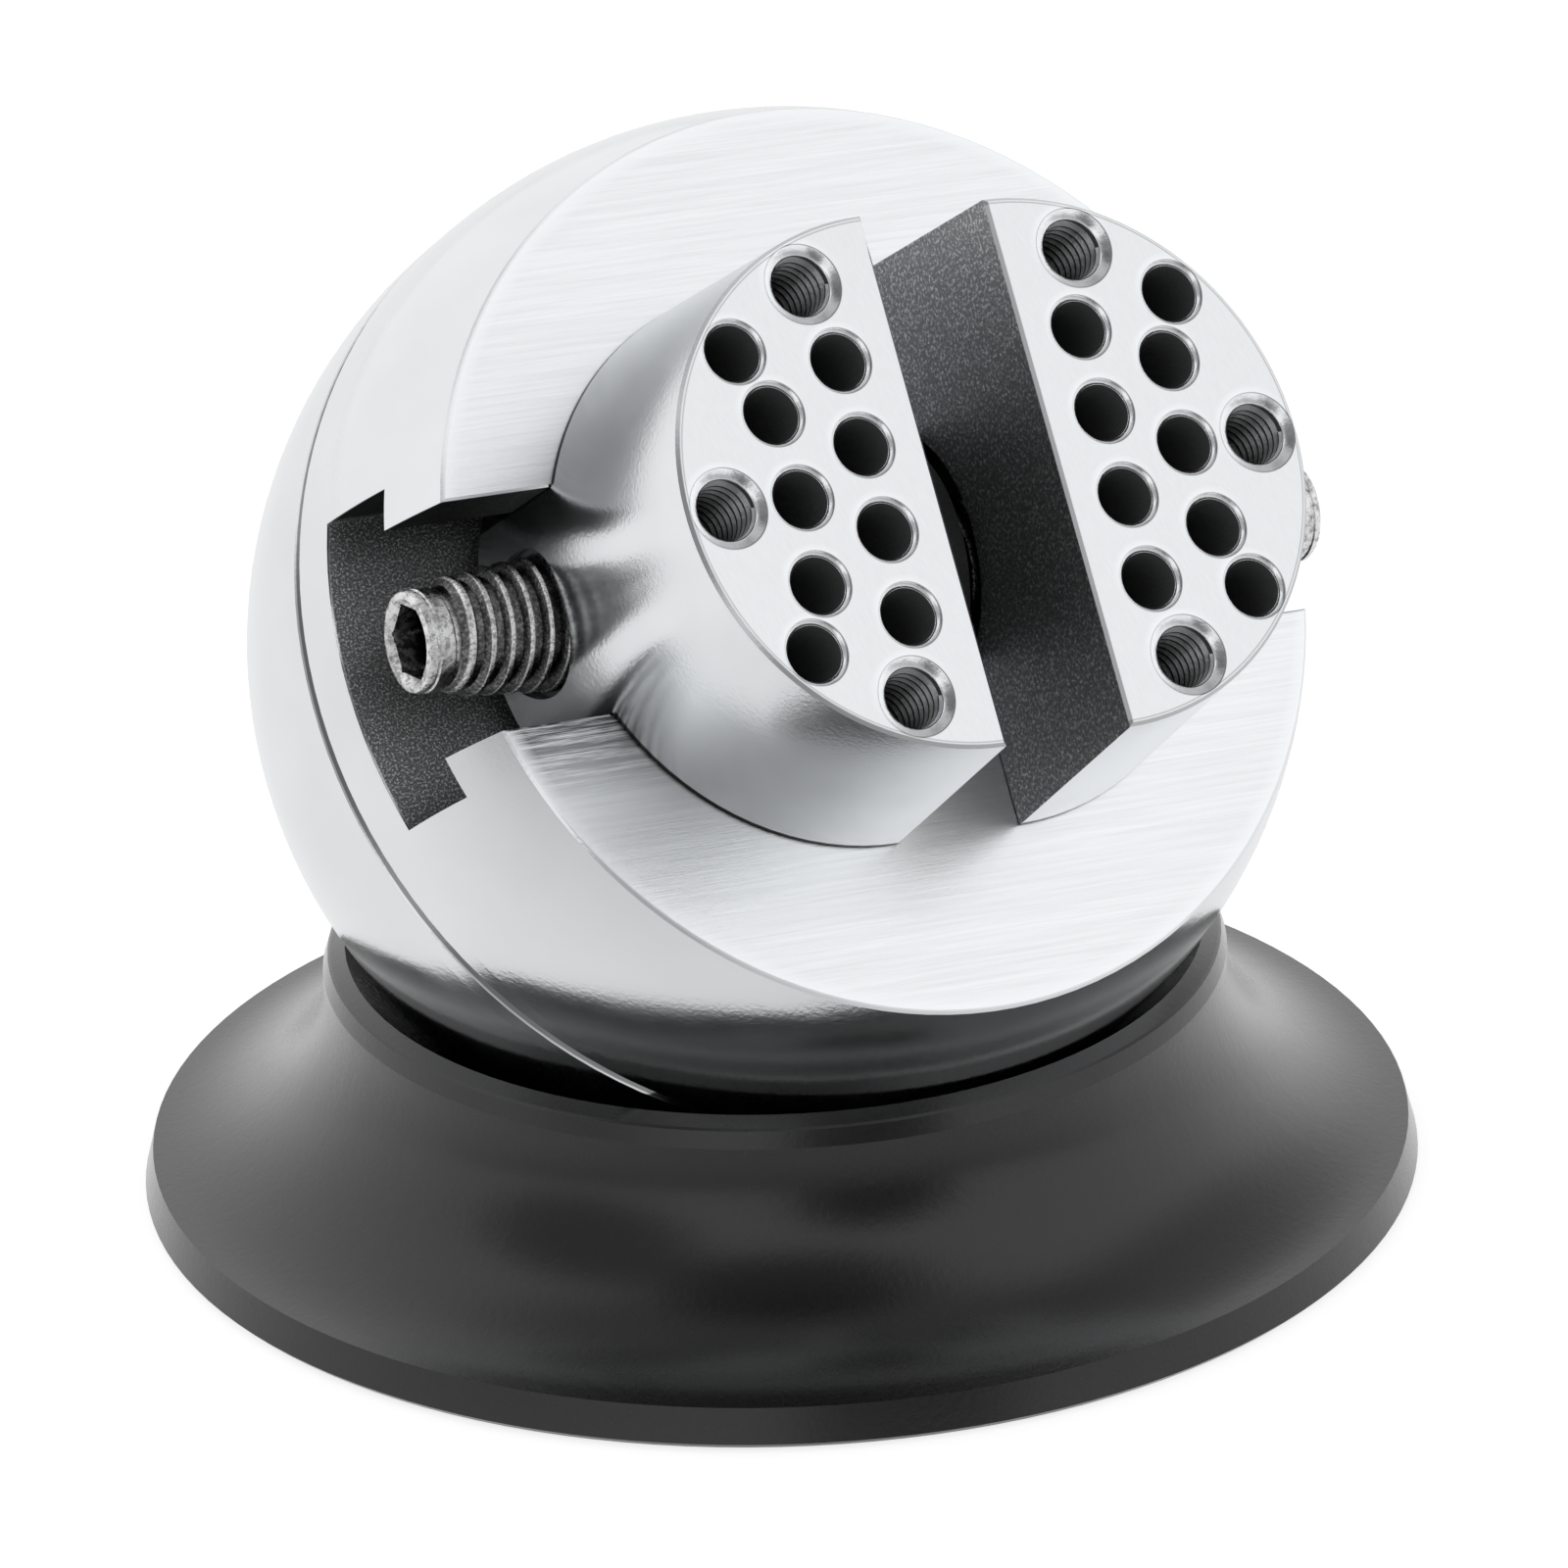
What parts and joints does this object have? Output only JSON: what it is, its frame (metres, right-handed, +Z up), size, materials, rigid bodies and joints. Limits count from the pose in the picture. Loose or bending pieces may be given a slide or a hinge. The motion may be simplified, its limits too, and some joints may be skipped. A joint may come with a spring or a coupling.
{
  "type": "ball vise",
  "caption": "Steel ball vise: tilting ball in a black ring base, a turning upper half and two self-centring half-round jaws with pin holes, opened by a hex screw.",
  "frame": {"origin": "centre of the ring base on the bench", "axes": "+Z up; X is the axis the ball leans about, so the ball's own axis lies in the plane X = 0 and leans towards -Y; the jaw slot runs 7.1 degrees off X"},
  "size_m": [0.0952, 0.0952, 0.0823],
  "materials": {
    "base_rubber": "satin charcoal, moulded",
    "ball_steel": "bright satin, turned on the sphere and brushed on the flat",
    "jaw_steel": "polished sides, fine ground top, blasted grip face",
    "screw_steel": "worn thread with bright crests",
    "yoke_steel": "blasted",
    "black_fastener": "black oxide",
    "bearing_steel": "ground",
    "cage_brass": "machined"
  },
  "bodies": {
    "base": {"rubber_base": "base_rubber"},
    "ball": {"lower_ball": "ball_steel", "thrust_washer_lower": "bearing_steel", "bearing_outer_ring": "bearing_steel", "bottom_cap": "ball_steel"},
    "turret": {"upper_ball": "ball_steel", "screw_yoke": "yoke_steel", "yoke_cap": "yoke_steel", "yoke_screws": "black_fastener", "pivot_bolt": "black_fastener", "brake_drum": "yoke_steel", "drum_pins": "bearing_steel", "thrust_washer_upper": "bearing_steel", "bearing_inner_ring": "bearing_steel", "disc_springs": "bearing_steel", "bolt_washer": "bearing_steel"},
    "thrust_row": {"thrust_cage": "cage_brass", "thrust_balls": "bearing_steel"},
    "radial_row": {"bearing_cage": "cage_brass", "bearing_balls": "bearing_steel"},
    "jaw_drive": {"lead_screw": "screw_steel"},
    "left_jaw": {"jaw_left": "jaw_steel"},
    "right_jaw": {"jaw_right": "jaw_steel"},
    "brake_shoe": {"brake_plug": "cage_brass"},
    "brake_drive": {"brake_screw": "black_fastener"}
  },
  "joints": [
    {"name": "ball_tilt", "type": "hinge", "parent": "base", "child": "ball", "pos_m": [0, 0, 0.042], "axis": [1, 0, 0], "range_deg": [-104, 0]},
    {"name": "turret_spin", "type": "hinge", "parent": "ball", "child": "turret", "pos_m": [0, 0, 0.042], "axis": [0, -0.788, 0.6157], "continuous": true},
    {"name": "thrust_row_spin", "type": "hinge", "parent": "ball", "child": "thrust_row", "pos_m": [0, 0, 0.042], "axis": [0, -0.788, 0.6157], "continuous": true},
    {"name": "radial_row_spin", "type": "hinge", "parent": "ball", "child": "radial_row", "pos_m": [0, 0, 0.042], "axis": [0, -0.788, 0.6157], "continuous": true},
    {"name": "screw_turn", "type": "hinge", "parent": "turret", "child": "jaw_drive", "pos_m": [0, -0.01214, 0.05148], "axis": [0.9923, -0.0761, -0.0974], "range_deg": [-1189, 2509]},
    {"name": "left_jaw_slide", "type": "slide", "parent": "turret", "child": "left_jaw", "axis": [-0.9923, 0.0761, 0.0974], "range_m": [-0.00495, 0.01045]},
    {"name": "right_jaw_slide", "type": "slide", "parent": "turret", "child": "right_jaw", "axis": [0.9923, -0.0761, -0.0974], "range_m": [-0.00495, 0.01045]},
    {"name": "brake_shoe_slide", "type": "slide", "parent": "ball", "child": "brake_shoe", "axis": [0, 0.6157, 0.788], "range_m": [0, 0.0012]},
    {"name": "brake_turn", "type": "hinge", "parent": "brake_shoe", "child": "brake_drive", "pos_m": [0, 0.02019, 0.0516], "axis": [0, 0.6157, 0.788], "range_deg": [0, 541]}
  ],
  "couplings": [
    {"joint": "thrust_row_spin", "follows": "turret_spin", "ratio": 0.5},
    {"joint": "radial_row_spin", "follows": "turret_spin", "ratio": 0.364},
    {"joint": "left_jaw_slide", "follows": "right_jaw_slide", "ratio": 1},
    {"joint": "screw_turn", "follows": "right_jaw_slide", "rad_per_m": 4188.8},
    {"joint": "brake_turn", "follows": "brake_shoe_slide", "rad_per_m": 7854}
  ]
}
